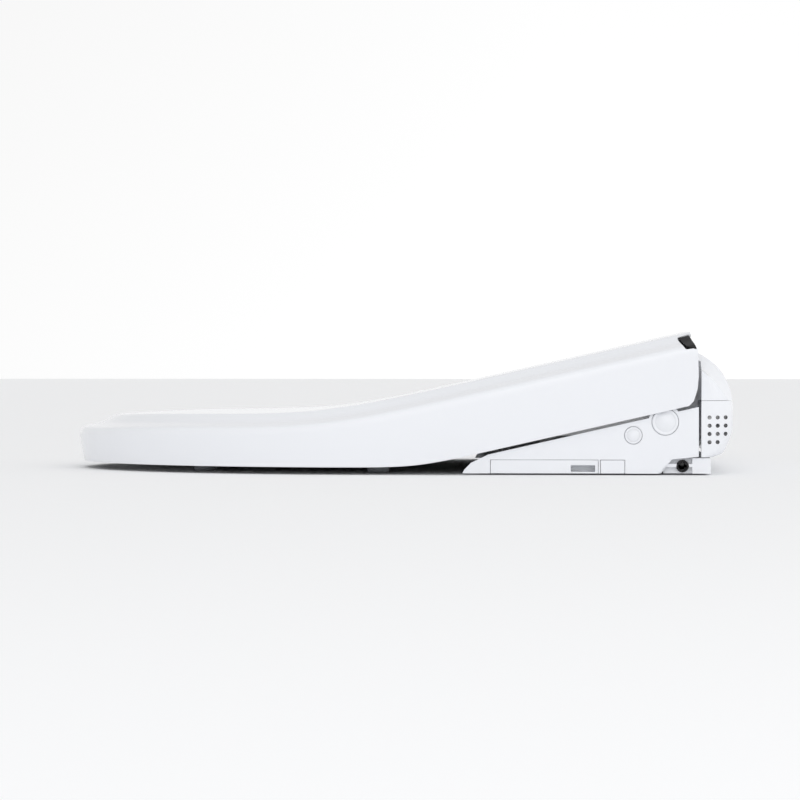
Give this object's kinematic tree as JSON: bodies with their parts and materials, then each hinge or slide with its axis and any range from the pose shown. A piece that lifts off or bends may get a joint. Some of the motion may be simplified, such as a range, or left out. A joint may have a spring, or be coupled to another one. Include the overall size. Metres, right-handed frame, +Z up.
{
  "type": "electric bidet seat",
  "caption": "Electric bidet toilet seat with wrap-over lid, heated ring seat and a rear unit holding wash nozzle, water heater and dryer.",
  "frame": {"origin": "centre of the box's underside, on the plane of the bowl's rim", "axes": "+X to the seated user's left, +Y back to the tank, +Z up; the nose of the lid is at -Y"},
  "size_m": [0.382, 0.53, 0.1096],
  "materials": {
    "white_shell": "smooth glossy injection moulding",
    "seat_white": "smooth glossy seat skin",
    "inner_plastic": "matte grey moulding",
    "black_trim": "matte black",
    "rubber_pad": "soft grey rubber",
    "steel": "brushed stainless steel",
    "natural_plastic": "natural acetal",
    "board": "green circuit board",
    "heater_foil": "copper heater foil",
    "hose": "translucent hose",
    "steel_polished": "polished stainless steel"
  },
  "bodies": {
    "unit": {"upper_case": "white_shell", "rear_cover": "white_shell", "side_cover_left": "white_shell", "side_cover_right": "white_shell", "hinge_cap_left": "white_shell", "hinge_cap_right": "white_shell", "side_plug_left": "white_shell", "side_plug_right": "white_shell", "chassis": "white_shell", "unit_foot_front_left": "rubber_pad", "unit_foot_front_right": "rubber_pad", "unit_foot_rear_left": "rubber_pad", "unit_foot_rear_right": "rubber_pad", "hinge_pin_left": "steel", "hinge_pin_right": "steel", "lid_damper": "black_trim", "seat_damper": "black_trim", "inlet_port": "steel", "cord_gland": "black_trim", "heater_tank": "natural_plastic", "power_supply": "inner_plastic", "valve_block": "natural_plastic", "inlet_pipe": "hose", "tank_feed_pipe": "hose", "pump": "black_trim", "nozzle_hose": "hose", "nozzle_motor": "black_trim", "nozzle_guide": "inner_plastic", "bezel_screw_left": "steel", "bezel_screw_right": "steel", "nozzle_bezel": "white_shell", "fan_housing": "inner_plastic", "dryer_duct": "inner_plastic", "fan_motor": "black_trim", "deodoriser_fan": "black_trim", "control_board": "board"},
    "seat": {"seat_top_shell": "seat_white", "seat_bottom_shell": "seat_white", "seat_heater": "heater_foil", "seat_bumper_front_left": "rubber_pad", "seat_bumper_front_right": "rubber_pad", "seat_bumper_rear_left": "rubber_pad", "seat_bumper_rear_right": "rubber_pad"},
    "lid": {"lid_shell": "white_shell", "lid_rear_strip": "black_trim", "lid_bumper_left": "rubber_pad", "lid_bumper_right": "rubber_pad"},
    "nozzle": {"nozzle_wand": "natural_plastic", "nozzle_tip": "steel_polished"},
    "pinion": {"drive_pinion": "natural_plastic"},
    "impeller": {"fan_impeller": "black_trim"},
    "flap": {"dryer_flap": "white_shell"},
    "cartridge": {"deodoriser_cartridge": "white_shell", "carbon_block": "black_trim"},
    "button": {"release_button": "white_shell"},
    "plate": {"mounting_plate": "natural_plastic", "plate_bolt_left": "steel", "plate_bolt_right": "steel"}
  },
  "joints": [
    {"name": "seat_hinge", "type": "hinge", "parent": "unit", "child": "seat", "pos_m": [0, 0.2123, 0.0406], "axis": [1, 0, 0], "range_deg": [-95, 0]},
    {"name": "lid_hinge", "type": "hinge", "parent": "seat", "child": "lid", "pos_m": [0, 0.2123, 0.0406], "axis": [-1, 0, 0], "range_deg": [0, 100]},
    {"name": "nozzle_slide", "type": "slide", "parent": "unit", "child": "nozzle", "axis": [0, -0.9272, -0.3746], "range_m": [0, 0.096]},
    {"name": "pinion_spin", "type": "hinge", "parent": "unit", "child": "pinion", "pos_m": [0.0177, 0.14394, 0.03029], "axis": [0, -0.3746, 0.9272], "range_deg": [-1, 740]},
    {"name": "fan_spin", "type": "hinge", "parent": "unit", "child": "impeller", "pos_m": [0.098, 0.162, 0.03], "axis": [0, 0, 1], "continuous": true},
    {"name": "flap_hinge", "type": "hinge", "parent": "unit", "child": "flap", "pos_m": [0.098, 0.117, 0.025], "axis": [-1, 0, 0], "range_deg": [0, 60]},
    {"name": "cartridge_slide", "type": "slide", "parent": "unit", "child": "cartridge", "axis": [1, 0, 0], "range_m": [0, 0.03]},
    {"name": "button_press", "type": "slide", "parent": "unit", "child": "button", "axis": [-1, 0, 0], "range_m": [0, 0.003], "stiffness_N_per_m": 300, "springref_m": -0.002},
    {"name": "plate_slide", "type": "slide", "parent": "unit", "child": "plate", "axis": [0, 1, 0], "range_m": [0, 0.036]}
  ],
  "couplings": [
    {"joint": "pinion_spin", "follows": "nozzle_slide", "rad_per_m": 133.33}
  ]
}
